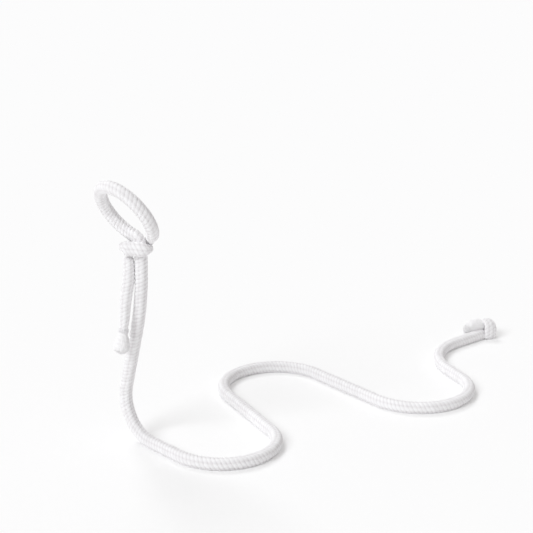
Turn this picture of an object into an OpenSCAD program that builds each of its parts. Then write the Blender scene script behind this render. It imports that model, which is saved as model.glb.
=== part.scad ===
// A carrying stand: a steel rod, bent to a winding base, a riser and a noose,
// hidden in a white braided rope whose tail hangs loose from the knot.

/* [Rope] */
// Diameter of the braid where the rod fills it
rope_d = 8; // [7:0.1:10]
// Diameter of the braid where it only holds its own yarns
soft_rope_d = 6.4; // [5.6:0.1:7.4]
// Depth of the flat that the stand's weight presses into the braid
flat_depth = 0.4; // [0.2:0.05:0.6]

/* [Rod] */
// Diameter of the steel rod
rod_d = 5; // [4:0.1:5.6]
// Room between the rod and the braid, all round
rod_room = 0.1; // [0.05:0.05:0.2]
// Wall of the soft cap on each end of the rod
cap_wall = 0.5; // [0.3:0.1:0.6]
// Length of rod that each cap covers
cap_len = 7; // [5:0.5:9]

/* [Base] */
// Straight run from the riser's foot to the first lobe
first_run = 28; // [20:1:36]
// Radius of the first lobe, at the middle of the rope
lobe_1_r = 34.7; // [28:0.1:42]
// Turn of the first lobe, in degrees
lobe_1_angle = 163.6; // [150:0.1:175]
// Straight run between the first and second lobes
run_1 = 63.7; // [50:0.1:76]
// Radius of the second lobe
lobe_2_r = 36.7; // [28:0.1:42]
// Turn of the second lobe, in degrees
lobe_2_angle = 166.8; // [152:0.1:178]
// Straight run between the second and third lobes
run_2 = 61.4; // [48:0.1:74]
// Radius of the third lobe
lobe_3_r = 37; // [28:0.1:42]
// Turn of the third lobe, in degrees
lobe_3_angle = 165.2; // [152:0.1:176]
// Straight run between the third lobe and the last bend
run_3 = 17.2; // [10:0.1:26]
// Radius of the last bend
last_bend_r = 44.9; // [34:0.1:54]
// Turn of the last bend, in degrees
last_bend_angle = 75; // [60:0.5:85]
// Straight run from the last bend to the end of the rod
end_run = 27; // [20:0.5:34]

/* [Riser] */
// Radius of the foot, where the rope leaves the table
foot_r = 25; // [18:0.5:34]
// Lean of the riser's middle from upright, in degrees
riser_lean = 16.5; // [8:0.5:20]
// Straight run of the leaning middle
riser_run = 41; // [30:1:52]
// Radius of the long crook that brings the riser upright
crook_r = 160; // [130:5:200]
// Upright run under the knot
top_run = 11; // [9:0.5:16]

/* [Noose] */
// Radius of the noose, at the middle of the rope
noose_r = 20.8; // [18:0.2:26]
// Lean of the noose from upright, in degrees
noose_lean = 30.6; // [15:0.2:38]
// Radius of the short bend from the riser into the noose
neck_bend_r = 7; // [6:0.2:9]
// Place on the noose, in degrees from its lowest point, where that bend joins it
join_angle = 17; // [12:1:22]
// Place on the noose where the rod ends
rod_end_angle = 304; // [298:1:308]

/* [Knot] */
// Height of the flattened rope that wraps riser and tail
wrap_h = 7.4; // [6.6:0.1:7.6]
// Thickness of that rope
wrap_t = 3.6; // [3.2:0.1:4]
// Room between the wrap and the rope that it goes round
wrap_room = 0.5; // [0.4:0.05:0.7]
// Diameter of the tail where the wrap squeezes it
root_d = 5; // [4.4:0.1:5.4]
// Room between the squeezed tail and the riser
root_room = 0.3; // [0.25:0.05:0.4]
// Side of the riser on which the tail hangs, in degrees from +X
tail_side_angle = 136; // [130:1:142]

/* [Tail] */
// Length of the tail from its pivot to its bound neck
tail_len = 45; // [38:0.5:52]
// Room between the tail and the riser at the knot
tail_room = 0.45; // [0.35:0.05:0.8]
// Room between the tail's round top and the stub that it turns under
pivot_room = 0.3; // [0.3:0.05:0.5]
// Diameter of the tail's neck, under the binding
neck_d = 5.2; // [4.8:0.1:5.6]
// Height of the binding
binding_h = 2.4; // [1.6:0.1:3.2]
// Thickness of the binding
binding_t = 0.35; // [0.3:0.05:0.6]
// Room between the binding and the neck
binding_room = 0.1; // [0.05:0.05:0.2]
// Widest diameter of the tail's flared end
tail_tip_d = 10.2; // [8.4:0.2:11]
// Length of the flared end
tail_tip_len = 14; // [10:0.5:17]

/* [Hidden] */
$fn = 48;
rope_color = "white";
// Overrun of every cut
over = 0.125 * rope_d;
// The seam ring between two stretches of rope or rod
seam_gap = 0.02 * rope_d;
seam_half = 0.05 * rope_d;
seam_step = 0.008 * rope_d;

// The rope's middle above the table, and the bore that the rod runs in
lie_z = rope_d / 2 - flat_depth;
bore_d = rod_d + 2 * rod_room;
cap_d = rod_d + 2 * rod_room + 2 * cap_wall;
cap_bore_d = cap_d + 2 * rod_room;

// Each row of a route: straight run, roll about the rope, bend radius, bend angle
half_turn = 180;
quarter_turn = half_turn / 2;
base_route = [
    [first_run, 0, lobe_1_r, lobe_1_angle],
    [run_1, half_turn, lobe_2_r, lobe_2_angle],
    [run_2, half_turn, lobe_3_r, lobe_3_angle],
    [run_3, half_turn, last_bend_r, last_bend_angle],
    [end_run - cap_len, 0, 0, 0]];
riser_route = [
    [0, 0, foot_r, quarter_turn + riser_lean],
    [riser_run, half_turn, crook_r, riser_lean],
    [top_run, 0, 0, 0]];

// Where the riser ends, under the noose
riser_top_y = foot_r * cos(riser_lean) - riser_run * sin(riser_lean) - crook_r * (1 - cos(riser_lean));
riser_top_z = lie_z + foot_r * (1 + sin(riser_lean)) + riser_run * cos(riser_lean)
    + crook_r * sin(riser_lean) + top_run;
riser_top = [0, riser_top_y, riser_top_z];

// The noose leans towards -X. An angle on it is counted from its lowest point towards +Y
function noose_up() = [-sin(noose_lean), 0, cos(noose_lean)];
function noose_out(a) = sin(a) * [0, 1, 0] - cos(a) * noose_up();
function noose_along(a) = cos(a) * [0, 1, 0] + sin(a) * noose_up();
neck_turn = acos(noose_along(join_angle)[2]);
neck_roll = atan2(noose_along(join_angle)[1], noose_along(join_angle)[0]);
noose_join = riser_top + neck_bend_r * tan(neck_turn / 2) * ([0, 0, 1] + noose_along(join_angle));
noose_centre = noose_join - noose_r * noose_out(join_angle);
cap_angle = cap_len / noose_r * half_turn / PI;
seal_angle = cap_wall / noose_r * half_turn / PI;
noose_end_angle = rod_end_angle + seal_angle + cap_wall / noose_r * half_turn / PI;

// The wrap: its level, its rise at the start, and the angles that it turns through
wrap_drop_share = 0.2;
wrap_rise_share = 1.08;
wrap_fall_share = 0.52;
wrap_start_angle = -48;
wrap_end_angle = 298;
wrap_lead_share = 1.2;
wrap_z = riser_top_z - wrap_drop_share * wrap_h;
riser_axis = [0, riser_top_y, 0];
root_step = rope_d / 2 + root_d / 2 + root_room;
root_axis = riser_axis + root_step * flat_unit(tail_side_angle);
wrap_riser_r = rope_d / 2 + wrap_room + wrap_t / 2;
wrap_root_r = root_d / 2 + wrap_room + wrap_t / 2;
wrap_side_turn = acos((wrap_riser_r - wrap_root_r) / root_step);
wrap_sides = 12;
lead_count = 14;
back_count = 12;
side_count = 12;
front_count = 10;

// The tail's pivot, under the wrap, and its route from there: out, towards the front, down
soft_r = soft_rope_d / 2;
pivot_z = wrap_z - wrap_h / 2 - soft_r - pivot_room;
tail_step = rope_d / 2 + soft_r + tail_room;
pivot = riser_axis + tail_step * flat_unit(tail_side_angle) + [0, 0, pivot_z];
tail_sides = 12;
tail_shares = [
    [0, 0, 0],
    [0, 0, 0.1],
    [0.01, 0.02, 0.28],
    [0.03, 0.03, 0.42],
    [0.05, 0.05, 0.56],
    [0.06, 0.06, 0.7],
    [0.07, 0.08, 0.84],
    [0.08, 0.09, 0.92],
    [0.09, 0.1, 1]];
// The shape of the flared ends: share of the radius, share of the length
flare_shares = [[0.62, 0.12], [0.8, 0.3], [0.94, 0.5], [1, 0.7], [0.97, 0.82], [0.82, 0.93], [0.5, 1]];

// The turn at the base's end and the flared end that it holds, in eighths of the rope's
// diameter: along the base, left, up, then half the width and half the thickness
eighth = rope_d / 8;
end_turn_shares = [
    [7.8, 1.4, -2.6, 2.6, 1.3],
    [7.4, -1.2, -2.4, 3.1, 1.4],
    [6.6, -4.8, -1.2, 3.9, 1.6],
    [5.8, -5.4, 3.2, 4.2, 1.6],
    [5.8, -3.9, 7, 4.2, 1.6],
    [6, 0, 9.2, 4.1, 1.6],
    [6.6, 4, 9.2, 3.9, 1.6],
    [8.2, 6, 7.2, 4, 1.6],
    [10.8, 5.2, 5, 4, 1.6],
    [12.6, 2.8, 3.8, 3.4, 1.7],
    [11.4, 0.2, 3, 2.8, 1.9],
    [8.7, -0.8, 2.8, 2.1, 1.9],
    [6.2, -0.6, 2.6, 2, 1.9],
    [4.3, -0.3, 1.6, 2.1, 2],
    [2.8, 0, 0.2, 2.4, 2.3],
    [1.5, 0, 0, 3.2, 3.2],
    [0.3, 0, 0, 4, 4]];
end_tip_shares = [
    [8.6, 2, 5.7, 1.1],
    [5.6, 2, 5.9, 1.2],
    [3.6, 2.3, 6, 1.2],
    [2, 2.8, 6.3, 1.6],
    [0.6, 3.5, 6.8, 2.9],
    [-1.2, 4.3, 7.1, 3.8],
    [-3.5, 4.9, 7.1, 4.2],
    [-6.5, 5.3, 6.9, 4.3],
    [-8.8, 5.5, 6.5, 3.9],
    [-10.7, 5.7, 5.8, 2.9],
    [-11.9, 5.8, 5.2, 1.7]];
end_sides = 12;

// Small vector helpers
function unit(v) = v / norm(v);
function flat_unit(a) = [cos(a), sin(a), 0];
function ease(t) = t * (2 - t);
function clamp(t) = min(1, max(0, t));
function dirs(p) = [for (i = [0 : len(p) - 1])
    unit(p[min(i + 1, len(p) - 1)] - p[max(i - 1, 0)])];
// A side direction carried along a route with no twist
function sides_of(d, first) = [
    for (i = 0, s = unit(first - (first * d[0]) * d[0]); i < len(d);
        i = i + 1, s = i < len(d) ? unit(s - (s * d[i]) * d[i]) : s) s];
// A smooth line through control points
function extend(c) = concat([2 * c[0] - c[1]], c, [2 * c[len(c) - 1] - c[len(c) - 2]]);
function smooth_at(c, i, t) = 0.5 * (2 * c[i] + t * (c[i + 1] - c[i - 1])
    + t * t * (2 * c[i - 1] - 5 * c[i] + 4 * c[i + 1] - c[i + 2])
    + t * t * t * (3 * c[i] - c[i - 1] - 3 * c[i + 1] + c[i + 2]));
function smooth(c, n) = let (e = extend(c))
    concat([for (i = [1 : len(c) - 1]) for (k = [0 : n - 1]) smooth_at(e, i, k / n)], [c[len(c) - 1]]);
// The corners of every ring of a tube: a and b are half widths along the side and across it
function rings_of(p, side, a, b, count) = let (d = dirs(p), s = sides_of(d, side))
    [for (i = [0 : len(p) - 1]) [for (k = [0 : count - 1]) p[i]
        + a[i] * cos(360 * k / count) * s[i] + b[i] * sin(360 * k / count) * cross(d[i], s[i])]];
// The least distance between corners of rings that lie at least skip rings apart
function least_gap(rings, skip) = min([for (i = [0 : len(rings) - 1 - skip])
    for (j = [i + skip : len(rings) - 1]) if (norm(rings[i][0] - rings[j][0]) < 4 * rope_d)
        for (u = rings[i]) for (v = rings[j]) norm(u - v)]);

// A tube through rings of corners, closed at both ends
module tube(rings) {
    count = len(rings[0]);
    corners = [for (ring = rings) each ring];
    last = (len(rings) - 1) * count;
    walls = [for (i = [0 : len(rings) - 2]) for (k = [0 : count - 1])
        let (m = i * count + k, n = i * count + (k + 1) % count)
        each [[m, n, m + count], [n, n + count, m + count]]];
    starts = [for (k = [1 : count - 2]) [0, k + 1, k]];
    ends = [for (k = [1 : count - 2]) [last, last + k, last + k + 1]];
    polyhedron(points = corners, faces = concat(walls, starts, ends), convexity = 6);
}
// A flared end: a neck that opens to a round bell, along +Z
module flared(neck, wide, length) {
    rotate_extrude() polygon(concat([[0, 0], [neck / 2, 0]],
        [for (f = flare_shares) [max(f[0] * wide, neck) / 2, f[1] * length]], [[0, length]]));
}
// Puts +Z along a direction at a point
module aim(at, d) {
    translate(at) rotate([0, acos(d[2]), atan2(d[1], d[0])]) children();
}

// One run and one bend of a round bar. A run goes along +Z, a bend turns it towards +X.
// A run stops short of the bend by the seam gap, and a seam ring a hair wider joins the two
module run_of(length, d) {
    if (length > 2 * seam_gap) translate([0, 0, seam_gap]) cylinder(h = length - 2 * seam_gap, d = d);
}
module seam_of(d) {
    translate([0, 0, -seam_half]) cylinder(h = 2 * seam_half, d = d + seam_step);
}
module bend_of(r, turn, d) {
    translate([r, 0, 0]) rotate([quarter_turn, 0, half_turn])
        rotate_extrude(angle = turn) translate([r, 0]) circle(d = d);
}
// A bar along the rows of a route, and what belongs at its end
module along(rows, d, i = 0) {
    if (i < len(rows)) {
        row = rows[i];
        run_of(row[0], d);
        translate([0, 0, row[0]]) rotate([0, 0, row[1]]) {
            if (row[0] > 0 && row[2] > 0) seam_of(d);
            if (row[2] > 0) bend_of(row[2], row[3], d);
            translate([row[2] * (1 - cos(row[3])), 0, row[2] * sin(row[3])]) rotate([0, row[3], 0]) {
                if (row[2] > 0) seam_of(d);
                along(rows, d, i + 1) children();
            }
        }
    } else children();
}
module to_end(rows, i = 0) {
    if (i < len(rows)) {
        row = rows[i];
        translate([0, 0, row[0]]) rotate([0, 0, row[1]])
            translate([row[2] * (1 - cos(row[3])), 0, row[2] * sin(row[3])]) rotate([0, row[3], 0])
                to_end(rows, i + 1) children();
    } else children();
}
// The places that the stretches start from
module base_place() {
    translate([0, 0, lie_z]) rotate([quarter_turn, 0, 0]) children();
}
module riser_place() {
    translate([0, 0, lie_z]) rotate([-quarter_turn, -quarter_turn, 0]) children();
}
module neck_place() {
    translate(riser_top) rotate([0, 0, neck_roll]) children();
}
module noose_place(a) {
    translate(noose_centre) rotate([0, quarter_turn - noose_lean, 0]) rotate([0, 0, a]) children();
}
module end_place() {
    base_place() to_end(base_route) rotate([0, 0, half_turn]) children();
}
module noose_arc(from, to, d) {
    noose_place(from) rotate_extrude(angle = to - from) translate([noose_r, 0]) circle(d = d);
}
module noose_seam(a, d) {
    noose_place(a) translate([noose_r, 0, 0]) rotate([quarter_turn, 0, 0]) seam_of(d);
}
module below_table() {
    wide = 4 * (run_1 + run_2 + 2 * lobe_3_r);
    translate([-wide / 2, -wide / 2, -wide]) cube(wide);
}
// The rod's own line, at any diameter
module base_bar(d) {
    base_place() along(base_route, d) children();
}
module riser_bar(d) {
    riser_place() along(riser_route, d);
    neck_place() {
        seam_of(d);
        bend_of(neck_bend_r, neck_turn, d);
    }
}

// The steel rod, in one length from the base's end to the noose's end
module core_rod() {
    color("silver") {
        base_bar(rod_d) {
            seam_of(rod_d);
            run_of(cap_len + seam_gap, rod_d);
        }
        base_place() seam_of(rod_d);
        riser_bar(rod_d);
        noose_seam(join_angle, rod_d);
        noose_arc(join_angle, rod_end_angle, rod_d);
    }
}

// The soft cap over the rod's end in the base
module base_rod_cap() {
    color("dimgray") end_place() difference() {
        cylinder(h = cap_len + cap_wall, d = cap_d);
        translate([0, 0, -over]) cylinder(h = cap_len + over, d = bore_d);
    }
}

// The soft cap over the rod's end in the noose
module noose_rod_cap() {
    color("dimgray") difference() {
        noose_arc(rod_end_angle - cap_angle, rod_end_angle + seal_angle, cap_d);
        noose_arc(rod_end_angle - cap_angle - seal_angle, rod_end_angle, bore_d);
    }
}

// The braid over the base, flat where it lies on the table
module base_cover() {
    color(rope_color) difference() {
        base_bar(rope_d) {
            seam_of(rope_d);
            run_of(cap_len + 2 * cap_wall + seam_gap, rope_d);
        }
        base_bar(bore_d);
        base_place() seam_of(bore_d);
        end_place() translate([0, 0, -cap_wall]) cylinder(h = cap_len + 3 * cap_wall + over, d = cap_bore_d);
        below_table();
    }
}

// The braid over foot and riser, up to the noose
module riser_cover() {
    color(rope_color) difference() {
        riser_bar(rope_d);
        riser_bar(bore_d);
        riser_place() seam_of(bore_d);
        noose_seam(join_angle, bore_d);
        below_table();
    }
}

// The braid over the noose
module noose_cover() {
    color(rope_color) difference() {
        noose_arc(join_angle, noose_end_angle, rope_d);
        noose_arc(join_angle - seal_angle, rod_end_angle - cap_angle, bore_d);
        noose_arc(rod_end_angle - cap_angle - seal_angle, noose_end_angle + seal_angle, cap_bore_d);
    }
}

// The soft rope that leaves the noose and wraps riser and tail once
function arc_points(at, r, from, to, n) = [for (i = [0 : n]) at + r * flat_unit(from + (to - from) * i / n)];
wrap_plan = concat(
    arc_points(riser_axis, wrap_riser_r, wrap_start_angle, tail_side_angle - wrap_side_turn, back_count),
    arc_points(root_axis, wrap_root_r, tail_side_angle - wrap_side_turn,
        tail_side_angle + wrap_side_turn, side_count),
    arc_points(riser_axis, wrap_riser_r, tail_side_angle + wrap_side_turn, wrap_end_angle, front_count));
wrap_line = [for (i = [0 : len(wrap_plan) - 1]) wrap_plan[i] + [0, 0, wrap_z + wrap_rise_share * wrap_h
    * (1 - ease(clamp(i / (len(wrap_plan) - 1) / wrap_fall_share)))]];
lead_from = noose_centre + noose_r * noose_out(noose_end_angle);
lead_pull = wrap_lead_share * rope_d;
lead_into = unit(wrap_line[1] - wrap_line[0]);
lead_line = [for (i = [0 : lead_count - 1]) let (t = i / lead_count)
    (1 + t * t * (2 * t - 3)) * lead_from + t * (1 - t) * (1 - t) * lead_pull * noose_along(noose_end_angle)
    + t * t * (3 - 2 * t) * wrap_line[0] + t * t * (t - 1) * lead_pull * lead_into];
wrap_route = concat(lead_line, wrap_line);
function wrap_half(wide, i) = rope_d / 2 + (wide / 2 - rope_d / 2) * clamp(i / lead_count);
wrap_dirs = dirs(wrap_route);
wrap_rings = [for (i = [0 : len(wrap_route) - 1]) let (
        d = i == 0 ? noose_along(noose_end_angle) : wrap_dirs[i],
        s = unit(cross(d, [0, 0, 1])), q = cross(s, d))
    [for (k = [0 : wrap_sides - 1]) wrap_route[i] + wrap_half(wrap_t, i) * cos(360 * k / wrap_sides) * s
        - wrap_half(wrap_h, i) * sin(360 * k / wrap_sides) * q]];
module knot_turn() {
    color(rope_color) tube(wrap_rings);
}
echo("least gap of the wrap to itself", least_gap(wrap_rings, lead_count));  // knot_turn

// The tail's squeezed stretch inside the wrap, hollow below for the tail's round top
module tail_root() {
    color(rope_color) difference() {
        translate(root_axis + [0, 0, pivot_z]) cylinder(h = riser_top_z - pivot_z, d = root_d);
        translate(pivot) sphere(soft_r + pivot_room);
    }
}

// The loose tail, which swings about its round top
tail_out = flat_unit(tail_side_angle);
tail_front = flat_unit(tail_side_angle + quarter_turn);
tail_line = smooth([for (t = tail_shares)
    pivot + tail_len * (t[0] * tail_out + t[1] * tail_front - [0, 0, t[2]])], 2);
dome_turns = [75, 50, 25];
tail_route = concat([for (a = dome_turns) pivot + [0, 0, soft_r * sin(a)]], tail_line);
function tail_half(i) = i < len(dome_turns) ? soft_r * cos(dome_turns[i])
    : soft_r + (neck_d / 2 - soft_r) * clamp((i - len(dome_turns) - 11) / 3);
tail_halves = [for (i = [0 : len(tail_route) - 1]) tail_half(i)];
tail_end = tail_line[len(tail_line) - 1];
tail_end_dir = unit(tail_end - tail_line[len(tail_line) - 2]);
module tail() {
    color(rope_color) tube(rings_of(tail_route, tail_out, tail_halves, tail_halves, tail_sides));
}

// The thread that binds the tail's neck
module tail_binding() {
    color("gainsboro") aim(tail_end, -tail_end_dir) difference() {
        cylinder(h = binding_h, d = neck_d + 2 * binding_room + 2 * binding_t);
        translate([0, 0, -over]) cylinder(h = binding_h + 2 * over, d = neck_d + 2 * binding_room);
    }
}

// The tail's flared end of loose yarns
module tail_tip() {
    color(rope_color) aim(tail_end, tail_end_dir) flared(neck_d, tail_tip_d, tail_tip_len);
}

// The turn of soft rope at the base's end, flat where it lies on the table
end_start = cap_len + 2 * cap_wall;
function end_route(rows) = [for (k = rows) [k[1], k[2], k[0]] * eighth + [0, 0, end_start]];
end_turn_rows = smooth(end_turn_shares, 4);
end_turn_rings = rings_of(end_route(end_turn_rows), [0, 0, 1],
    [for (k = end_turn_rows) k[3] * eighth], [for (k = end_turn_rows) k[4] * eighth], end_sides);
module end_knot() {
    color(rope_color) difference() {
        end_place() tube(end_turn_rings);
        below_table();
    }
}
echo("least gap of the end knot to itself", least_gap(end_turn_rings, 14));  // end_knot

// The rope's flared end of loose yarns, which the end knot holds over the base
end_tip_rows = smooth(end_tip_shares, 3);
end_tip_halves = [for (k = end_tip_rows) k[3] * eighth];
module end_tip() {
    color(rope_color) end_place()
        tube(rings_of(end_route(end_tip_rows), [1, 0, 0], end_tip_halves, end_tip_halves, end_sides));
}

core_rod();
base_rod_cap();
noose_rod_cap();
base_cover();
riser_cover();
noose_cover();
knot_turn();
tail_root();
tail();
tail_binding();
tail_tip();
end_knot();
end_tip();
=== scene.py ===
# %% [markdown]
# # A stand made of one rope
# The real object is a single white braided rope with a bent steel rod inside it. The rod
# gives the winding base, the riser and the noose their shape, and the soft ends of the same
# rope make the wrap under the noose, the loose tail and the turn at the base's end.
# The construction model is loaded as a frame that never moves. Everything soft is then made
# again with its real braid, where the frame has it.

# %% Load the frame
from math import acos, atan2, cos, degrees, pi, radians, sin, tan
import bpy
import numpy as np
from mathutils import Matrix, Vector


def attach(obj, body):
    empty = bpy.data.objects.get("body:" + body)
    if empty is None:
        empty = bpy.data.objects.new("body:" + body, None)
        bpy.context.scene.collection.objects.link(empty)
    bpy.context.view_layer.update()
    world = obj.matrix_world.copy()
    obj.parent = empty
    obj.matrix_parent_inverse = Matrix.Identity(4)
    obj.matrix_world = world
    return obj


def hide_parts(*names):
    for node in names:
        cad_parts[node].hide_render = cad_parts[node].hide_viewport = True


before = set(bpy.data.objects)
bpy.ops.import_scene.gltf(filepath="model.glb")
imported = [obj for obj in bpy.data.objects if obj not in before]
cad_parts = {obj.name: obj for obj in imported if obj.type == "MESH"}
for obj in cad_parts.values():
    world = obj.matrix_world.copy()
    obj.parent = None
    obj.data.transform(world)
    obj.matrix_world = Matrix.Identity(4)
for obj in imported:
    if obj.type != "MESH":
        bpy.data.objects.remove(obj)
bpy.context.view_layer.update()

scene = bpy.context.scene
bpy.ops.object.select_all(action="DESELECT")
print("nodes in the frame:", sorted(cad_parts))

# %% [markdown]
# ## The camera
# A camera is a place, a direction and a lens. The photograph was taken from a little above
# the noose with a long lens, so the stand looks almost free of perspective. A lens of
# 101.3 mm on the usual 36 mm sensor gives that narrow angle.

# %% The camera
def unit(v):
    v = np.asarray(v, float)
    return v / np.linalg.norm(v)


view_line = unit((0.6485, 0.6956, -0.309))
view_right = unit((0.731, -0.682, 0))
view_up = np.cross(view_right, view_line)
camera_place, lens_mm, far_limit = (-0.5395, -0.6849, 0.4031), 101.3, 30

bpy.ops.object.camera_add(location=camera_place)
camera = bpy.context.object
turn = Matrix([[view_right[i], view_up[i], -view_line[i]] for i in range(3)])
camera.rotation_euler = turn.to_euler()
camera.data.lens = lens_mm
camera.data.clip_end = far_limit
scene.camera = camera
print("the camera looks along", [round(float(x), 3) for x in view_line])

# %% [markdown]
# ## Shader maths as Python
# A material is a small graph of nodes. Writing each Math node by hand hides the idea, so a
# socket is wrapped in a class whose operators add those nodes. `0.86 - 0.08 * crest` then
# makes a Multiply node and a Subtract node, and the formula stays readable.

# %% Sockets with operators
class Socket:
    """One output of a node. Python's operators on it add Math nodes."""

    def __init__(self, finish, out):
        self.finish, self.out = finish, out

    def maths(self, operation, *values):
        settings = {"operation": operation}
        return self.finish.node("ShaderNodeMath", settings, dict(enumerate(values)))

    def sine(self): return self.maths("SINE", self)
    def largest(self, other): return self.maths("MAXIMUM", self, other)
    def at_most(self, other): return self.maths("MINIMUM", self, other)
    def __add__(self, other): return self.maths("ADD", self, other)
    def __radd__(self, other): return self.maths("ADD", other, self)
    def __rsub__(self, other): return self.maths("SUBTRACT", other, self)
    def __mul__(self, other): return self.maths("MULTIPLY", self, other)
    def __rmul__(self, other): return self.maths("MULTIPLY", other, self)


print("sockets can be added and multiplied")

# %% A finish
class Finish:
    """A material that starts from an empty Principled surface."""

    def __init__(self, name):
        self.material = bpy.data.materials.new(name)
        self.material.use_nodes = True
        self.tree = self.material.node_tree
        self.surface = self.tree.nodes["Principled BSDF"]

    def node(self, kind, settings, inputs, output=0):
        made = self.tree.nodes.new(kind)
        for key, value in settings.items():
            setattr(made, key, value)
        for key, value in inputs.items():
            self.put(made.inputs[key], value)
        return Socket(self, made.outputs[output])

    def put(self, socket, value):
        if isinstance(value, Socket):
            self.tree.links.new(value.out, socket)
        else:
            socket.default_value = value

    def set(self, **inputs):
        for key, value in inputs.items():
            self.put(self.surface.inputs[key.replace("_", " ")], value)

    def mix(self, share, low, high):
        """The share that blends from one colour to another. A Mix node keeps its colours
        in inputs 6 and 7 and gives the blend in output 2."""
        inputs = {0: share, 6: (*low, 1), 7: (*high, 1)}
        return self.node("ShaderNodeMix", {"data_type": "RGBA"}, inputs, 2)

    def noise(self, scale, detail):
        place = self.node("ShaderNodeTexCoord", {}, {}, "Object")
        inputs = {"Vector": place, "Scale": scale, "Detail": detail}
        return self.node("ShaderNodeTexNoise", {}, inputs, "Fac")

    def attribute(self, name):
        return self.node("ShaderNodeAttribute", {"attribute_name": name}, {}, "Fac")

    def uv(self):
        """The two shares of the mesh's own UV map."""
        place = self.node("ShaderNodeTexCoord", {}, {}, "UV")
        return [self.node("ShaderNodeSeparateXYZ", {}, {0: place}, axis) for axis in (0, 1)]

    def waves(self, turns):
        """A sine that goes round once for each whole turn."""
        return (turns * (2 * pi)).sine()

    def bump(self, height, strength, distance):
        inputs = {"Height": height, "Strength": strength, "Distance": distance}
        return self.node("ShaderNodeBump", {}, inputs)

    def rays(self, *kinds):
        """1 for a ray of one of these kinds, and 0 for any other."""
        found = [self.node("ShaderNodeLightPath", {}, {}, kind) for kind in kinds]
        share = found[0]
        for other in found[1:]:
            share = share.largest(other)
        return share


print("finishes can be written as formulas")

# %% [markdown]
# ## The finishes
# White cotton is never one flat white. The strands are painted brightest on their crests and
# a faint lilac grey where they dive under each other: this grey is painted shade in the
# creases. Fine fibres run along each strand, and the surface is matt with a soft sheen. The
# braid's mesh carries its own UV map, across and along each strand, and an attribute that
# says how high a point lies on its strand, so the pattern and the painted shade follow the
# rope round every bend.

# %% White braid
def white_braid():
    f = Finish("white_braid")
    crest, tone = f.attribute("crest"), f.attribute("tone")
    across, length = f.uv()
    fibre = f.waves(length * 4 + across * 0.6)
    fuzz, blotch = f.noise(1900, 4), f.noise(60, 2)
    # painted shade: the colour darkens to lilac grey where a stitch sinks into a crease, mixed with
    # each stitch's random tone and noise
    crease_shade_and_tone = (crest * 0.8 + tone * 0.14 + fuzz * 0.12 + blotch * 0.08).at_most(1.0)
    colour = f.mix(crease_shade_and_tone, (0.71, 0.68, 0.69), (0.95, 0.945, 0.955))
    weave = f.bump(fibre * 0.5 + fuzz * 0.9, 0.6, 0.00010)
    f.set(Base_Color=colour, Roughness=0.86 - 0.08 * crest, Normal=weave)
    f.set(Sheen_Weight=0.25, Sheen_Roughness=0.5, Specular_IOR_Level=0.25)
    return f.material


braid_finish = white_braid()
print("made", braid_finish.name)

# %% Loose yarn, binding thread, steel and rubber
def loose_yarn():
    f = Finish("loose_yarn")
    around, length = f.uv()
    ply = f.waves(around * 3 + length * 5)
    fuzz = f.noise(2300, 4)
    colour = f.mix(fuzz * 0.7 + length * 0.3, (0.94, 0.93, 0.94), (0.985, 0.98, 0.985))
    twist = f.bump(ply * 0.5 + fuzz, 0.6, 0.00008)
    f.set(Base_Color=colour, Roughness=0.8 + 0.1 * fuzz, Normal=twist)
    f.set(Sheen_Weight=0.3, Sheen_Roughness=0.5, Specular_IOR_Level=0.2)
    return f.material


def binding_thread():
    f = Finish("binding_thread")
    around, side = f.uv()
    twist = f.waves(around * 40 + side * 2)
    colour = f.mix(twist * 0.5 + 0.5, (0.80, 0.785, 0.80), (0.93, 0.925, 0.935))
    f.set(Base_Color=colour, Roughness=0.55 + 0.1 * twist, Normal=f.bump(twist, 0.5, 0.00006))
    f.set(Sheen_Weight=0.15)
    return f.material


def rod_steel():
    f = Finish("rod_steel")
    grain, patch = f.noise(900, 5), f.noise(40, 3)
    colour = f.mix(patch, (0.42, 0.42, 0.43), (0.60, 0.60, 0.61))
    f.set(Base_Color=colour, Metallic=1.0, Roughness=0.28 + 0.2 * grain)
    f.set(Normal=f.bump(grain, 0.25, 0.00003))
    return f.material


def cap_rubber():
    f = Finish("cap_rubber")
    grain = f.noise(1500, 4)
    colour = f.mix(grain, (0.030, 0.030, 0.032), (0.055, 0.055, 0.058))
    f.set(Base_Color=colour, Roughness=0.62 + 0.2 * grain)
    f.set(Normal=f.bump(grain, 0.4, 0.00005))
    return f.material


yarn_finish, thread_finish, steel_finish, rubber_finish = (
    loose_yarn(), binding_thread(), rod_steel(), cap_rubber())
print("made", [m.name for m in (yarn_finish, thread_finish, steel_finish, rubber_finish)])

# %% [markdown]
# ## Floor and light
# The object stands on a plain white floor. One wide soft lamp stands far off in front on the
# left, low enough to bring out the braid. A second one behind it throws the soft shadow that
# lies along the front of the rope, and an even sky fills the rest. All are weak enough for
# the white rope to keep its shading. Through Light Path, the camera sees the floor a little
# lighter than it is and the sky nearly white, and so does what mirrors or lets light through.
# No lamp has to be brighter for that, and the soft shadow stays.

# %% Floor
floor_side, floor_middle, floor_lift = 40, (0.12, 0, 0), 0.2
seen_rays = ("Is Camera Ray", "Is Glossy Ray", "Is Transmission Ray")

bpy.ops.mesh.primitive_plane_add(size=floor_side, location=floor_middle)
floor = bpy.context.object
floor.name = "floor"
floor.data.transform(floor.matrix_world)
floor.matrix_world = Matrix.Identity(4)
ground = Finish("pale_floor")
ground.set(Base_Color=ground.mix(ground.noise(300, 2), (0.985, 0.985, 0.985), (1, 1, 1)))
ground.set(Roughness=0.9, Specular_IOR_Level=0.0)
lit_floor = Socket(ground, ground.surface.outputs[0])
white = ground.node("ShaderNodeEmission", {}, {"Color": (1, 1, 1, 1), "Strength": 1.0})
lift = ground.rays(*seen_rays) * floor_lift
pale = ground.node("ShaderNodeMixShader", {}, {0: lift, 1: lit_floor, 2: white})
ground.put(ground.tree.nodes["Material Output"].inputs["Surface"], pale)
floor.data.materials.append(ground.material)
print("the floor is", floor_side, "m wide")

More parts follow.
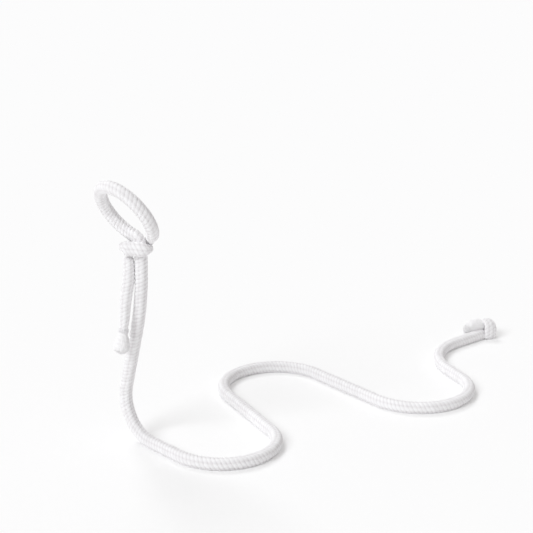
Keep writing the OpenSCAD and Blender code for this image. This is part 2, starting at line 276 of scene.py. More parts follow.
# %% Lamps
def soft_sun(name, side, height, width, power, tint):
    """A wide lamp as far off as the sun, so that the whole floor gets the same light. side is
    its angle round the stand from the camera, and left is negative."""
    side, height = radians(side), radians(height)
    toward = -unit(view_line * (1, 1, 0)) * cos(side) + view_right * sin(side)
    falling = Vector(-toward * cos(height) - np.array((0, 0, sin(height))))
    bpy.ops.object.light_add(type="SUN", location=(0, 0, 2))
    lamp = bpy.context.object
    lamp.name = name
    lamp.data.angle = radians(width)
    lamp.data.energy = power
    lamp.data.color = tint
    lamp.rotation_euler = falling.to_track_quat("-Z", "Y").to_euler()
    print(name, "has strength", power)


soft_sun("front_lamp", side=-45, height=40, width=30, power=1.42, tint=(0.96, 0.98, 1))
soft_sun("back_lamp", side=-150, height=52, width=24, power=0.88, tint=(0.98, 0.99, 1))

# %% Sky
world = scene.world or bpy.data.worlds.new("sky")
scene.world = world
world.use_nodes = True
sky = world.node_tree
sky.nodes.clear()


def sky_node(kind, **inputs):
    made = sky.nodes.new(kind)
    for key, value in inputs.items():
        made.inputs[key].default_value = value
    return made


fill = sky_node("ShaderNodeBackground", Color=(1, 0.98, 0.97, 1), Strength=0.48)
plain = sky_node("ShaderNodeBackground", Color=(1, 1, 1, 1), Strength=0.97)
light_path = sky_node("ShaderNodeLightPath")
seen = light_path.outputs[seen_rays[0]]
for kind in seen_rays[1:]:
    either = sky_node("ShaderNodeMath")
    either.operation = "MAXIMUM"
    sky.links.new(seen, either.inputs[0])
    sky.links.new(light_path.outputs[kind], either.inputs[1])
    seen = either.outputs[0]
blend, out_sky = sky_node("ShaderNodeMixShader"), sky_node("ShaderNodeOutputWorld")
for made, socket in ((seen, blend.inputs[0]), (fill.outputs[0], blend.inputs[1]),
                     (plain.outputs[0], blend.inputs[2]), (blend.outputs[0], out_sky.inputs[0])):
    sky.links.new(made, socket)
scene.view_settings.view_transform = "Standard"
print("an even sky fills the rest")

# %% [markdown]
# ## The rod's line
# The rope follows the rod, so its route is written as a bender would read it: a straight
# run, a roll about the rope's own line, then a bend of some radius and angle. All these
# numbers are the construction model's own, in millimetres, and are turned to metres last.

# %% Sizes of the rope and its route
MM = 0.001
rope_d, soft_rope_d, flat_depth = 8.0, 6.4, 0.4
lie_z = rope_d / 2 - flat_depth
cap_len, cap_wall = 7.0, 0.5
riser_lean, foot_r, riser_run, crook_r, top_run = 16.5, 25.0, 41.0, 160.0, 11.0
noose_r, noose_lean, neck_bend_r = 20.8, 30.6, 7.0
join_angle, rod_end_angle = 17.0, 304.0
# each row is a straight run, a roll, a bend's radius and its angle
base_rows = [(28, 0, 34.7, 163.6), (63.7, 180, 36.7, 166.8), (61.4, 180, 37, 165.2),
             (17.2, 180, 44.9, 75), (27 - cap_len, 0, 0, 0)]
riser_rows = [(0, 0, foot_r, 90 + riser_lean), (riser_run, 180, crook_r, riser_lean),
              (top_run, 0, 0, 0)]
along_y, straight_up = np.array((0, 1, 0)), np.array((0, 0, 1))
print("the base has", len(base_rows), "rows, and the riser", len(riser_rows))

# %% Turns, and the line along the rows
def turn_x(a):
    a = radians(a)
    return np.array([[1, 0, 0], [0, cos(a), -sin(a)], [0, sin(a), cos(a)]])


def turn_y(a):
    a = radians(a)
    return np.array([[cos(a), 0, sin(a)], [0, 1, 0], [-sin(a), 0, cos(a)]])


def turn_z(a):
    a = radians(a)
    return np.array([[cos(a), -sin(a), 0], [sin(a), cos(a), 0], [0, 0, 1]])


def trace(place, pose, rows, step=0.25):
    """Points along the rows of a route, and the place and pose at its end."""
    place, points = np.array(place, float), []
    for run, roll, radius, angle in rows:
        if run:
            for t in np.linspace(0, run, max(2, int(run / step)), endpoint=False):
                points.append(place + pose[:, 2] * t)
        place, pose = place + pose[:, 2] * run, pose @ turn_z(roll)
        if radius:
            bend = radians(angle)
            on_bend = lambda t: place + pose @ np.array((radius * (1 - cos(t)), 0, radius * sin(t)))
            for t in np.linspace(0, bend, int(bend * radius / step), endpoint=False):
                points.append(on_bend(t))
            place, pose = on_bend(bend), pose @ turn_y(angle)
    return points, place, pose


print("a route can be traced from its rows")

# %% The base and the riser
start_at = (0, 0, lie_z)
base_points, base_end, base_pose = trace(start_at, turn_x(90), base_rows)
cover_end = base_end + base_pose[:, 2] * (cap_len + 2 * cap_wall)
base_points += [base_end, cover_end]
riser_points, riser_top, _ = trace(start_at, turn_y(-90) @ turn_x(-90), riser_rows)
print("base ends at", cover_end.round(2), "riser at", riser_top.round(2))

# %% The noose's ring
noose_up = np.array((-sin(radians(noose_lean)), 0, cos(radians(noose_lean))))


def noose_out(a):
    return sin(radians(a)) * along_y - cos(radians(a)) * noose_up


def noose_along(a):
    return cos(radians(a)) * along_y + sin(radians(a)) * noose_up


join_way = noose_along(join_angle)
neck_turn = acos(join_way[2])
noose_join = riser_top + neck_bend_r * tan(neck_turn / 2) * (straight_up + join_way)
noose_centre = noose_join - noose_r * noose_out(join_angle)
noose_end = rod_end_angle + degrees(2 * cap_wall / noose_r)
neck_side = unit(join_way * (1, 1, 0))
neck_points = [riser_top + neck_bend_r * ((1 - cos(t)) * neck_side + sin(t) * straight_up)
               for t in np.linspace(0, neck_turn, 40, endpoint=False)]
noose_points = [noose_centre + noose_r * noose_out(a)
                for a in np.linspace(join_angle, noose_end, 500)]
print("the noose's middle is at", noose_centre.round(2))

# %% [markdown]
# ## How a braid is made as a mesh
# The real cover is a solid braid: six columns of slanted stitches run along it, all leaning
# the same way, and each stitch meets one in the next column that lies two thirds of a
# stitch higher, so that soft ridges seem to wind round the rope. Were every yarn modelled,
# most of it would be hidden inside the rope. It is cheaper to make one skin whose mesh lines
# run along the creases: a ring of corners is laid every third of a millimetre, the diagonals
# of its squares follow the ridges, and each corner is lifted by how high the stitch stands
# there. The result is a closed mesh with a real scalloped edge.

# %% How high a stitch stands
COLUMNS = 6              # columns of stitches round the rope
ACROSS = 6               # mesh steps across one column
ALONG = 9                # mesh steps along one stitch
PITCH = 2.65             # from one stitch to the next on the rod, in mm
CREASE = 0.58            # how deep the creases are there, in mm


def hash_share(a, b):
    """A steady share between 0 and 1 for a pair of whole numbers."""
    return np.modf(np.abs(np.sin(a * 12.9898 + b * 78.233) * 43758.5453))[0]


def stitch_height(across, along):
    """How high a stitch stands, from its shares across the column and along the rope."""
    edge, end = np.abs(2 * across - 1) ** 2.4, np.abs(2 * along - 1) ** 2.8
    return 1 - 0.44 * edge - 0.44 * end - 0.12 * edge * end


print("a stitch is lifted by up to", CREASE, "mm")

# %% Frames along a route
def measured(points):
    """The length along a line of points, at each of them."""
    points = np.asarray(points, float)
    return np.r_[0, np.cumsum(np.linalg.norm(np.diff(points, axis=0), axis=1))]


def spaced(points, least):
    """A line without points that lie closer than least to the one before."""
    points = np.asarray(points, float)
    return points[np.r_[True, np.diff(measured(points)) > least]]


def unit_rows(v):
    return v / np.linalg.norm(v, axis=-1)[..., None]


def at_lengths(points, lengths):
    """Places and directions at given lengths along a line of points."""
    points = np.asarray(points, float)
    s, near = measured(points), 0.4
    place = lambda x: np.stack([np.interp(x, s, points[:, k]) for k in range(3)], 1)
    line = place(np.minimum(lengths + near, s[-1])) - place(np.maximum(lengths - near, 0))
    return place(lengths), unit_rows(line)


def carried(directions, first):
    """A side direction carried along a line without twist."""
    side, sides = np.array(first, float), []
    for d in directions:
        side = unit(side - (side @ d) * d)
        sides.append(side)
    return np.array(sides)


def even_angles(a, b, count):
    """Angles on each row's ellipse that lie at even steps along its edge."""
    t = np.linspace(0, 2 * pi, 241)
    step = np.hypot(a[:, None] * np.sin(t), b[:, None] * np.cos(t))
    way = np.cumsum((step[:, 1:] + step[:, :-1]) / 2, axis=1)
    way = np.concatenate([np.zeros((len(a), 1)), way], axis=1) / way[:, -1:]
    return np.array([np.interp(np.arange(count) / count, row, t) for row in way])


print("routes have frames without twist")

# %% The braided skin
def braid(points, half_a, half_b, first_side=None, sides=None, pitch=PITCH, crease=CREASE,
          lying=False):
    """The corners of a braided tube along points, in mm, ring by ring. half_a and half_b are
    its half widths to the crests, along the side direction and across it, as lists or numbers.
    No corner of a lying one goes under the floor."""
    total, around = measured(points)[-1], COLUMNS * ACROSS
    rows = int(round(total / pitch * ALONG))
    lengths = np.linspace(0, total, rows + 1)
    place, line = at_lengths(points, lengths)
    side = carried(line, first_side) if sides is None else sides(line)
    up = np.cross(line, side)

    def spread(half):
        half = np.atleast_1d(half).astype(float)
        return np.interp(lengths, np.linspace(0, total, len(half)), half)

    a, b = spread(half_a), spread(half_b)
    angle = even_angles(a, b, around)[..., None]
    i, j = np.arange(around)[None, :], np.arange(rows + 1)[:, None]
    crest = stitch_height((i % ACROSS) / ACROSS + 0 * j, ((j - i) % ALONG) / ALONG)
    crest *= 0.88 + 0.24 * hash_share(i // ACROSS, (j - i) // ALONG)
    a, b, side, up = a[:, None, None], b[:, None, None], side[:, None], up[:, None]
    normal = unit_rows(np.cos(angle) / a * side + np.sin(angle) / b * up)
    skin = (place[:, None] + (a - crease) * np.cos(angle) * side
            + (b - crease) * np.sin(angle) * up + crease * crest[..., None] * normal)
    if lying:
        skin[..., 2] = np.maximum(skin[..., 2], 0)
    return {"skin": skin, "crest": crest, "place": place, "side": side[:, 0], "up": up[:, 0]}


def skin_normals(skin):
    """A normal for each corner, from its neighbours on all sides."""
    round_it = np.roll(skin, -1, axis=1) - np.roll(skin, 1, axis=1)
    normal = np.cross(round_it, np.gradient(skin, axis=0))
    return normal / np.maximum(np.linalg.norm(normal, axis=2)[..., None], 1e-12)


print("a braid has", COLUMNS * ACROSS, "corners round it")

# %% The stitches' shares and a braid's ends
def stitch_shares(around, rows, start):
    """UV corners and a tone for the two triangles of each square of a skin: first all the low
    triangles, then all the high ones."""
    i, j = np.arange(around)[None, :], np.arange(rows)[:, None]
    left, column = ((i % ACROSS) / ACROSS + 0 * j).ravel(), (i // ACROSS + 0 * j).ravel()
    right, row = left + 1 / ACROSS, (j + start - i).ravel()
    v = row % ALONG
    v_low = np.where(v == 0, ALONG, v)
    low = ((left, v_low), (right, v_low - 1), (right, v_low))
    high = ((left, v), (right, v), (left, v + 1))
    uv = [np.stack([np.stack([u, w / ALONG], 1) for u, w in corners], 1) for corners in (low, high)]
    tones = [hash_share(column + 7, line // ALONG) for line in (row - 1, row)]
    return np.concatenate(uv), np.concatenate(tones)


def end_fans(skin, place, start, stop, base, top, e, n):
    """Middle points that close a solid tube's two ends, and the triangles to them."""
    inner = np.array([skin[start].mean(0), skin[stop].mean(0)])
    inward = unit_rows(np.array([place[start] - place[start + 2], place[stop] - place[stop - 2]]))
    fans = [[int(b), int(a), base] for a, b in zip(e, n)]
    fans += [[int(a), int(b), base + 1] for a, b in zip(top + e, top + n)]
    return inner, inward, fans


def bore_wall(made, start, stop, base, top, e, n, bore, step):
    """The rings of a round bore, its wall, and the flat rims at both ends."""
    place, side, up = made["place"], made["side"], made["up"]
    picks = list(range(start, stop, step)) + [stop]
    ring = (2 * pi * e / len(e))[:, None]
    inward = np.concatenate([-(np.cos(ring) * side[k] + np.sin(ring) * up[k]) for k in picks])
    inner = np.repeat(place[picks], len(e), axis=0) - bore * inward
    starts = [base + k * len(e) for k in range(len(picks))]
    quads = []
    for lo, hi in zip(starts, starts[1:]):
        quads += np.stack([lo + e, hi + e, hi + n, lo + n], 1).tolist()
    quads += np.stack([e, base + e, base + n, n], 1).tolist()
    quads += np.stack([top + e, top + n, starts[-1] + n, starts[-1] + e], 1).tolist()
    return inner, inward, quads


print("a braid's ends can be solid or hollow")

# %% A braid's mesh
def braid_mesh(name, made, start=0, stop=None, bore=None, bore_step=9):
    """A closed mesh from rings start to stop of a braided skin, solid or hollow to a bore."""
    skin = made["skin"]
    stop = len(skin) - 1 if stop is None else stop
    around, rows = skin.shape[1], stop - start
    i, j = np.arange(around)[None, :], np.arange(rows)[:, None]
    near, beside = j * around + i, j * around + (i + 1) % around
    low = np.stack([near, beside, beside + around], 2).reshape(-1, 3)
    high = np.stack([near, beside + around, near + around], 2).reshape(-1, 3)
    shares, tones = stitch_shares(around, rows, start)
    e = np.arange(around)
    n, base, top = (e + 1) % around, (rows + 1) * around, rows * around
    if bore is None:
        inner, inward, extra = end_fans(skin, made["place"], start, stop, base, top, e, n)
    else:
        inner, inward, extra = bore_wall(made, start, stop, base, top, e, n, bore, bore_step)
    mesh = bpy.data.meshes.new(name)
    corners = np.concatenate([skin[start:stop + 1].reshape(-1, 3), inner])
    mesh.from_pydata((corners * MM).tolist(), [], low.tolist() + high.tolist() + extra)
    uv = np.full((len(mesh.loops), 2), 0.5)
    uv[:3 * (len(low) + len(high))] = shares.reshape(-1, 2)
    mesh.uv_layers.new(name="stitch").data.foreach_set("uv", uv.ravel())
    crest = np.concatenate([made["crest"][start:stop + 1].ravel(), np.zeros(len(inner))])
    tone = np.concatenate([tones, np.full(len(extra), 0.5)])
    for key, domain, values in (("crest", "POINT", crest), ("tone", "FACE", tone)):
        layer = mesh.attributes.new(key, "FLOAT", domain)
        layer.data.foreach_set("value", values.astype(np.float32))
    mesh.polygons.foreach_set("use_smooth", [True] * len(mesh.polygons))
    mesh.update()
    outward = skin_normals(skin)[start:stop + 1].reshape(-1, 3)
    mesh.normals_split_custom_set_from_vertices(np.concatenate([outward, inward]).tolist())
    piece = bpy.data.objects.new(name, mesh)
    scene.collection.objects.link(piece)
    mesh.materials.append(braid_finish)
    print(name, len(mesh.polygons), "faces")
    return piece


def carry(piece, body, node):
    """The piece rides on a body and stands for a node, whose part in the frame is hidden."""
    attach(piece, body)
    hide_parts(node)


print("a braid becomes a piece that rides on a body")

# %% [markdown]
# ## Base, riser and noose
# One rope covers the whole rod, so its braid is laid out once along the full line, from the
# base's end to the noose's end, and then cut where the construction model changes node.
# Neighbouring meshes share the same corners and normals, so the cuts don't show. The sleeve
# is hollow for the rod, and pressed flat where it lies on the floor.

# %% The sleeve over the rod
bore_r, proud = 3.2, 0.14
crest_r = rope_d / 2 + proud
rod_line = spaced(base_points[::-1] + riser_points[1:] + neck_points + noose_points, 1e-6)
sleeve = braid(rod_line, crest_r, crest_r, first_side=straight_up, lying=True)
rod_length, rings = measured(rod_line)[-1], len(sleeve["skin"]) - 1
foot_at = measured(base_points)[-1]
join_at = foot_at + measured(riser_points + neck_points + noose_points[:1])[-1]
foot, join = (round(length / rod_length * rings) for length in (foot_at, join_at))
# each stretch has a name, the node it stands for, its first and last ring, and how many
# rings one step of its bore takes
for name, node, start, stop, step in (("base_braid", "base_cover", 0, foot, 18),
                                      ("riser_braid", "riser_cover", foot, join, 6),
                                      ("noose_braid", "noose_cover", join, rings, 9)):
    stretch = braid_mesh(name, sleeve, start, stop, bore=bore_r, bore_step=step)
    carry(stretch, "stand", node)
print("the rope over the rod is", round(rod_length), "mm long")

# %% [markdown]
# ## The turn under the noose
# From the noose the rope has no rod in it any more, so it can be pulled flat. It turns once
# round the riser and the squeezed start of the tail, and holds the two together. Its round
# section at the noose becomes a band, so the half widths change along the route.

# %% The wrap's route
wrap_h, wrap_t, wrap_room, root_d, root_room, tail_side = 7.4, 3.6, 0.5, 5.0, 0.3, 136.0
wrap_from, wrap_to, wrap_drop, drop_share = -48, 298, 1.08 * wrap_h, 0.52


def flat(a):
    return np.array((cos(radians(a)), sin(radians(a)), 0))


def arc(at, r, start, stop, n):
    return [at + r * flat(start + (stop - start) * i / n) for i in range(n + 1)]


wrap_z = riser_top[2] - 0.2 * wrap_h
riser_axis = np.array((0, riser_top[1], 0))
root_step = rope_d / 2 + root_d / 2 + root_room
root_axis = riser_axis + root_step * flat(tail_side)
riser_ring, root_ring = (d / 2 + wrap_room + wrap_t / 2 for d in (rope_d, root_d))
side_turn = degrees(acos((riser_ring - root_ring) / root_step))
leave_riser, meet_riser = tail_side - side_turn, tail_side + side_turn
wrap_plan = (arc(riser_axis, riser_ring, wrap_from, leave_riser, 12)
             + arc(root_axis, root_ring, leave_riser, meet_riser, 12)
             + arc(riser_axis, riser_ring, meet_riser, wrap_to, 10))
wrap_line = []
for i, place in enumerate(wrap_plan):
    fall = min(1, i / (len(wrap_plan) - 1) / drop_share)
    wrap_line.append(place + straight_up * (wrap_z + wrap_drop * (1 - fall * (2 - fall))))

# from the noose's end to the wrap, along both directions at once
lead_from, lead_out = noose_centre + noose_r * noose_out(noose_end), noose_along(noose_end)
lead_in, lead_pull = unit(wrap_line[1] - wrap_line[0]), 1.2 * rope_d
lead_line = [(1 + t * t * (2 * t - 3)) * lead_from + t * (1 - t) ** 2 * lead_pull * lead_out
             + t * t * (3 - 2 * t) * wrap_line[0] + t * t * (t - 1) * lead_pull * lead_in
             for t in np.arange(14) / 14]
wrap_points = spaced(lead_line + wrap_line, 0.05)
print("the wrap's route is", round(measured(wrap_points)[-1]), "mm long")

# %% A smooth line and its half widths
def smooth(points, n):
    """A smooth line through control points, of any number of columns."""
    c = np.asarray(points, float)
    c = np.concatenate([[2 * c[0] - c[1]], c, [2 * c[-1] - c[-2]]])
    out = []
    for i in range(1, len(c) - 2):
        for t in np.arange(n) / n:
            out.append(0.5 * (2 * c[i] + t * (c[i + 1] - c[i - 1])
                              + t * t * (2 * c[i - 1] - 5 * c[i] + 4 * c[i + 1] - c[i + 2])
                              + t ** 3 * (3 * c[i] - c[i - 1] - 3 * c[i + 1] + c[i + 2])))
    return np.array(out + [c[-2]])


def spread_evenly(points, values, count):
    """Values given at each point, read at even steps of the line's length."""
    way = measured(points) / measured(points)[-1]
    return np.interp(np.linspace(0, 1, count), way, values)


def upright_sides(line):
    """Side directions that keep a band standing upright."""
    return np.array([unit(np.cross(d, straight_up)) for d in line])


print("lines can be smoothed")

# %% The wrap's braid
wrap_proud, wrap_crease, inside_sleeve = 0.1, 0.42, 1.2
# the pulled rope is widest in front, and narrower and higher where it turns at both sides:
# a stop along the route, the half height there, and how far it is pulled up
wrap_shape = np.array([
    [0, 4, 0], [14, 3.7, 0], [26, 3.1, 0.3], [33, 2.3, 1.4], [39, 2.2, 2.2], [43, 2.6, 2.5],
    [45, 3.6, 2.8], [46.5, 4.5, 2.6], [50, 4.8, 2.3], [54, 4, 1.7], [57, 3, 1.4], [60, 2.2, 1.3],
    [64, 1.6, 1.3]])
# a stop and the half thickness there
wrap_thickness = np.array([
    [0, rope_d / 2], [10, 3.4], [16, 2.6], [24, wrap_t / 2], [60, wrap_t / 2], [64, 1.2]])
wrap_stop = np.linspace(0, 60, len(wrap_points))
wrap_points[:, 2] += np.interp(wrap_stop, wrap_shape[:, 0], wrap_shape[:, 2])
# it starts a little inside the sleeve, and its end is tucked under its own first turn
tucked = [riser_axis + (riser_ring - 0.12 * k) * flat(wrap_to + 8 * k)
          + straight_up * (wrap_points[-1][2] + 0.1 * k) for k in (1, 2, 3, 4)]
wrap_points = np.concatenate([[lead_from - inside_sleeve * lead_out], wrap_points, tucked])
wrap_stop = np.concatenate([[-1], wrap_stop, [61, 62, 63, 64]])
wrap_halves = [spread_evenly(wrap_points, np.interp(wrap_stop, shape[:, 0], shape[:, 1]), 160)
               + wrap_proud for shape in (wrap_thickness, wrap_shape)]
wrap_skin = braid(smooth(wrap_points, 6), *wrap_halves, sides=upright_sides, crease=wrap_crease)
carry(braid_mesh("knot_braid", wrap_skin), "stand", "knot_turn")

# %% The tail's squeezed start
soft_r, pivot_room, root_lean = soft_rope_d / 2, 0.3, 0.85
pivot_z = wrap_z - wrap_h / 2 - soft_r - pivot_room
root_top, root_foot = riser_top[2] - 0.1, pivot_z + soft_r + 0.6
root_line = [root_axis + t * t * root_lean * flat(tail_side)
             + straight_up * (root_top - t * (root_top - root_foot)) for t in np.linspace(1, 0, 20)]
root_half = [3.1, 2.9, 2.5, 2.5, 2.5]
root_skin = braid(root_line, root_half, root_half, first_side=flat(tail_side), pitch=2.4,
                  crease=0.35)
carry(braid_mesh("tail_start_braid", root_skin), "stand", "tail_root")

# %% [markdown]
# ## The loose tail
# The tail is the only free length of rope. It hangs from under the wrap, beside the riser,
# in a barely curved line, and ends in a flare of loose yarns. Without the rod the braid is
# a little thinner. Its route repeats the construction model's points, and its length is
# measured.

# %% The tail's route
tail_len, tail_room, neck_d, top_share = 45.0, 0.45, 5.2, 0.9
tail_out, tail_front = flat(tail_side), flat(tail_side + 90)
pivot = riser_axis + (rope_d / 2 + soft_r + tail_room) * tail_out + straight_up * pivot_z
# shares of the tail's length: away from the riser, to the front, and down
tail_shares = [(0, 0, 0), (0, 0, 0.1), (0.01, 0.02, 0.28), (0.03, 0.03, 0.42),
               (0.05, 0.05, 0.56), (0.06, 0.06, 0.7), (0.07, 0.08, 0.84), (0.08, 0.09, 0.92),
               (0.09, 0.1, 1)]
tail_line = smooth([pivot + tail_len * (a * tail_out + b * tail_front - c * straight_up)
                    for a, b, c in tail_shares], 2)
tail_end, tail_dir = tail_line[-1], unit(tail_line[-1] - tail_line[-2])
tail_route = np.concatenate([[pivot + straight_up * soft_r * top_share], smooth(tail_line, 6)])
cord_length = measured(tail_route)[-1]
print("the tail is", round(cord_length, 1), "mm long to the binding")

# %% The tail's braid
dome_power, least_dome, neck_from, neck_run, tail_proud = 3.4, 0.06, 9, 7, 0.08
# a length along the tail, and how much fuller the soft rope is there
tail_fullness = np.array([
    [0, 0], [5, 0.3], [13, 0.55], [27, 0.4], [35, 0.05], [41, -0.15], [48, 0]])
tail_at = np.linspace(0, cord_length, 80)
to_top = ((soft_r - tail_at) / soft_r).clip(0, 1)
dome = np.clip(1 - to_top ** dome_power, least_dome, 1) ** (1 / dome_power)
neck = np.clip((tail_at - cord_length + neck_from) / neck_run, 0, 1)
tail_half = (soft_r * dome + (neck_d / 2 - soft_r) * neck * neck * (3 - 2 * neck)
             + np.interp(tail_at, tail_fullness[:, 0], tail_fullness[:, 1]) + tail_proud)
tail_skin = braid(tail_route, tail_half, tail_half, first_side=tail_out, pitch=2.6, crease=0.4)
tail_rope = braid_mesh("tail_braid", tail_skin)
carry(tail_rope, "loose_tail", "tail")

# %% [markdown]
# ## The thread round the neck
# A few tight turns of thread keep the braid from running open above the flare. Each turn is
# a small ring. One is modelled, and copies are stacked along the neck.

# %% The binding
TURNS, thread_r, sink, rise, first_turn = 4, 0.31, 0.30, 0.58, 0.35


def turned_to(direction):
    return Vector(direction).to_track_quat("Z", "Y").to_matrix().to_4x4()


bpy.ops.object.select_all(action="DESELECT")
thread_turns = []
for i in range(TURNS):
    bpy.ops.mesh.primitive_torus_add(
        major_radius=(neck_d / 2 + sink) * MM, minor_radius=thread_r * MM,
        major_segments=40, minor_segments=10, generate_uvs=True)
    ring = bpy.context.object
    lean = Matrix.Rotation(radians(3.0 if i % 2 else -2.0), 4, "X")
    at = (tail_end - tail_dir * (first_turn + rise * i)) * MM
    ring.data.transform(Matrix.Translation(at) @ turned_to(tail_dir) @ lean)
    ring.matrix_world = Matrix.Identity(4)
    thread_turns.append(ring)
bpy.ops.object.select_all(action="DESELECT")
for ring in thread_turns:
    ring.select_set(True)
bpy.context.view_layer.objects.active = thread_turns[0]
bpy.ops.object.join()
binding = bpy.context.object
binding.name = "neck_binding"
bpy.ops.object.shade_smooth()
binding.data.materials.append(thread_finish)
carry(binding, "loose_tail", "tail_binding")
print("the binding has", TURNS, "turns")

# %% [markdown]
# ## The flared ends
# Where the rope is cut, its yarns come loose and spread into a soft brush. One yarn is
# modelled as a slim rod with rings along it, and copies follow the flare's shape in six
# rings, one inside the other, so close that they form a soft skin. Their lengths differ a
# little, which gives the rounded, fuzzy end.

# %% One yarn
YARN_STEPS = 12

bpy.ops.object.select_all(action="DESELECT")
bpy.ops.mesh.primitive_cylinder_add(vertices=6, radius=1, depth=1, location=(0, 0, 0.5))
yarn = bpy.context.object
bpy.context.view_layer.update()
yarn.data.transform(yarn.matrix_world)
yarn.matrix_world = Matrix.Identity(4)
bpy.ops.object.mode_set(mode="EDIT")
for i in range(1, YARN_STEPS):
    bpy.ops.mesh.select_all(action="SELECT")
    bpy.ops.mesh.bisect(plane_co=(0, 0, i / YARN_STEPS), plane_no=(0, 0, 1), use_fill=False)
bpy.ops.object.mode_set(mode="OBJECT")
yarn_shape = np.array([v.co for v in yarn.data.vertices])
yarn_faces = [list(f.vertices) for f in yarn.data.polygons]
bpy.data.objects.remove(yarn)
print("one yarn has", len(yarn_faces), "faces")

# %% One yarn in its place
# outer yarns end sooner, all end a little unevenly, and each waves along its length
outer_cut, uneven, wave_width, wave_rate = 0.16, 0.05, 0.12, 0.9
# how fast a yarn's tip gets slimmer, and the share of its thickness that is left there
tip_slope, tip_least = 14, 0.35


def carried_at(line, side, way):
    """A side direction carried along a line, at some lengths on it."""
    s = measured(line)
    sides = carried(at_lengths(line, s)[1], side)
    return unit_rows(np.stack([np.interp(way, s, sides[:, k]) for k in range(3)], 1))


def one_of_brush(rng, line, widths, share, turn, side, thick):
    """The corners of one yarn. share is its ring's share of the brush's half width, and turn
    is its place round that ring."""
    s, z = measured(line), yarn_shape[:, 2]
    a = 2 * pi * turn + rng.uniform(-0.02, 0.02)
    whole = 1 - outer_cut * share ** 2 - rng.uniform(0, uneven)
    way = s[-1] * whole * z
    at, along = at_lengths(line, way)
    sides = carried_at(line, side, way)
    ups = np.cross(along, sides)
    wide = np.interp(way, s, widths)
    waver = wave_width * np.sin(way * wave_rate + rng.uniform(0, 6)) * z
    out = share * np.maximum(wide - thick, 0.2) + waver
    pointed = np.clip((1 - z) * tip_slope, tip_least, 1)
    fat = thick * (0.55 + 0.45 * wide / max(widths)) * pointed * rng.uniform(0.9, 1.1)
    to_side = out * cos(a) + yarn_shape[:, 0] * fat
    to_up = out * sin(a) + yarn_shape[:, 1] * fat
    return at + to_side[:, None] * sides + to_up[:, None] * ups


print("a yarn can follow a line")

# %% A brush of yarns
BRUSH_RINGS = 6


def brush(name, line, widths, outer, seed, side, thick=0.36):
    """Yarns that follow a line, in mm, in rings that fill the half widths given along it.
    outer is the number of yarns in the outer ring."""
    rng, line = np.random.default_rng(seed), np.asarray(line, float)
    shares = [1 - k / BRUSH_RINGS for k in range(BRUSH_RINGS)]
    yarns = [one_of_brush(rng, line, widths, share, (i + k / 2) / round(outer * share), side, thick)
             for k, share in enumerate(shares) for i in range(round(outer * share))]
    faces = [[k * len(yarn_shape) + c for c in f] for k in range(len(yarns)) for f in yarn_faces]
    one_uv = [(atan2(yarn_shape[c][1], yarn_shape[c][0]) / (2 * pi) + 0.5, yarn_shape[c][2])
              for f in yarn_faces for c in f]
    mesh = bpy.data.meshes.new(name)
    mesh.from_pydata((np.concatenate(yarns) * MM).tolist(), [], faces)
    mesh.uv_layers.new(name="yarn").data.foreach_set("uv", np.array(one_uv * len(yarns)).ravel())
    mesh.update()
    made = bpy.data.objects.new(name, mesh)
    scene.collection.objects.link(made)
    bpy.ops.object.select_all(action="DESELECT")
    made.select_set(True)
    bpy.context.view_layer.objects.active = made
    bpy.ops.object.shade_smooth_by_angle(angle=radians(70))
    mesh.materials.append(yarn_finish)
    print(name, len(faces), "faces")
    return made


print("a brush has", BRUSH_RINGS, "rings of yarns")

# %% The tail's flare
tip_len, tip_d = 14.0, 10.2
# a share of the flare's length, and of its width there
flare = np.array([[0, neck_d / tip_d], [0.12, 0.62], [0.3, 0.8], [0.5, 0.94], [0.7, 1],
                  [0.82, 0.97], [0.93, 0.9], [1, 0.8]])
tip_at = np.linspace(-0.12, 1.0, 40)
tip_line = [tail_end + tail_dir * tip_len * share for share in tip_at]
tip_wide = np.interp(tip_at, flare[:, 0], flare[:, 1] * tip_d / 2)
tip = brush("tail_flare", tip_line, tip_wide, outer=60, seed=3, side=tail_out)
carry(tip, "loose_tail", "tail_tip")
cord_places = at_lengths(tail_route, np.linspace(0, cord_length, 24))[0]
path = [list(map(float, place * MM)) for place in cord_places]

# %% [markdown]
# ## The turn at the base's end
# Past the rod's end the rope goes limp. It is squeezed, folded back over itself and wrapped
# once round, and its cut end sticks out of that turn over the base as a short flare. The
# turn is a flat band, so the braid is laid on a flat section that opens from the round one.

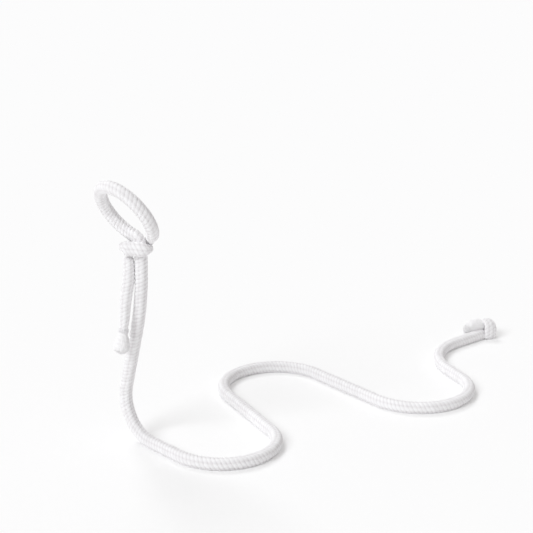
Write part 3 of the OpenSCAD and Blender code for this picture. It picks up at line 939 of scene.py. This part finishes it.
# %% The end's band
# each row goes past the sleeve's end, to the left, up, and gives two half widths
end_turn = np.array([
    [-0.9, 0, 0, 4, 4], [1.5, 0, 0, 3.3, 3.3], [2.8, 0, 0.2, 2.8, 2.7],
    [4.3, -0.3, 1.6, 2.7, 2.6], [6.2, -0.2, 2.6, 3.1, 3], [8.7, 0.4, 2.9, 3.4, 3.2],
    [11, 1.1, 3.1, 3.3, 2.4], [12.6, 2.8, 3.8, 3.4, 1.7], [10.8, 5.2, 5, 4, 1.6],
    [8.2, 5.6, 6.8, 4, 1.6], [6.8, 3.8, 8.4, 4.1, 1.6], [6.3, 0, 9.2, 4.6, 1.7],
    [5.2, -3.9, 7.2, 4.9, 1.8], [4.1, -5.5, 3.2, 5.2, 1.9], [3.9, -5.1, -1, 4.8, 1.8],
    [4.5, -3, -2.2, 4.1, 1.5], [5.4, -0.8, -2.1, 3.1, 1.3]])
end_left, end_up, end_line = -base_pose[:, 0], -base_pose[:, 1], base_pose[:, 2]


def at_end(rows):
    """Places past the sleeve's end, from rows that begin with their three distances."""
    return cover_end + rows[:, :3] @ np.array([end_line, end_left, end_up])


end_proud = 0.08
turn_rows = smooth(end_turn[::-1], 8)
turn_points = at_end(turn_rows)
turn_halves = [spread_evenly(turn_points, turn_rows[:, k], 200) + end_proud for k in (3, 4)]
turn_skin = braid(turn_points, *turn_halves, first_side=end_line, pitch=2.6, crease=0.4, lying=True)
carry(braid_mesh("end_turn_braid", turn_skin), "stand", "end_knot")

# %% The end's flare
# rows as above, with one half width
end_tip = np.array([
    [9.3, 1.7, 5.4, 1.7], [7, 1.5, 5.3, 2.9], [5, 1.7, 5.2, 3.6], [3.4, 2.4, 5.4, 4.2],
    [2, 3.4, 5.7, 4.7], [0.2, 4.5, 5.9, 5], [-2, 5.5, 5.8, 5.1], [-4.5, 6.3, 5.2, 5],
    [-7, 6.7, 4.5, 4.4], [-9.2, 6.8, 3.6, 3.6], [-11, 6.7, 2.5, 2.5], [-12.6, 6.5, 1.6, 1.4]])
tip_rows = smooth(end_tip, 6)
end_flare = brush("end_flare", at_end(tip_rows), tip_rows[:, 3], outer=58, seed=8, side=end_left)
carry(end_flare, "stand", "end_tip")

# %% [markdown]
# ## The hidden parts
# The rod and its two end caps keep the construction model's own shape, because it is right.
# They only get their finish: drawn steel, and soft black rubber.

# %% Rod and caps
for name, finish in (("core_rod", steel_finish), ("base_rod_cap", rubber_finish),
                     ("noose_rod_cap", rubber_finish)):
    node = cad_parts[name]
    node.data.materials.clear()
    node.data.materials.append(finish)
    print(name, "has", finish.name)

# %% [markdown]
# ## The end
# The script ends with nothing selected.

# %% Clear the selection
bpy.ops.object.select_all(action="DESELECT")
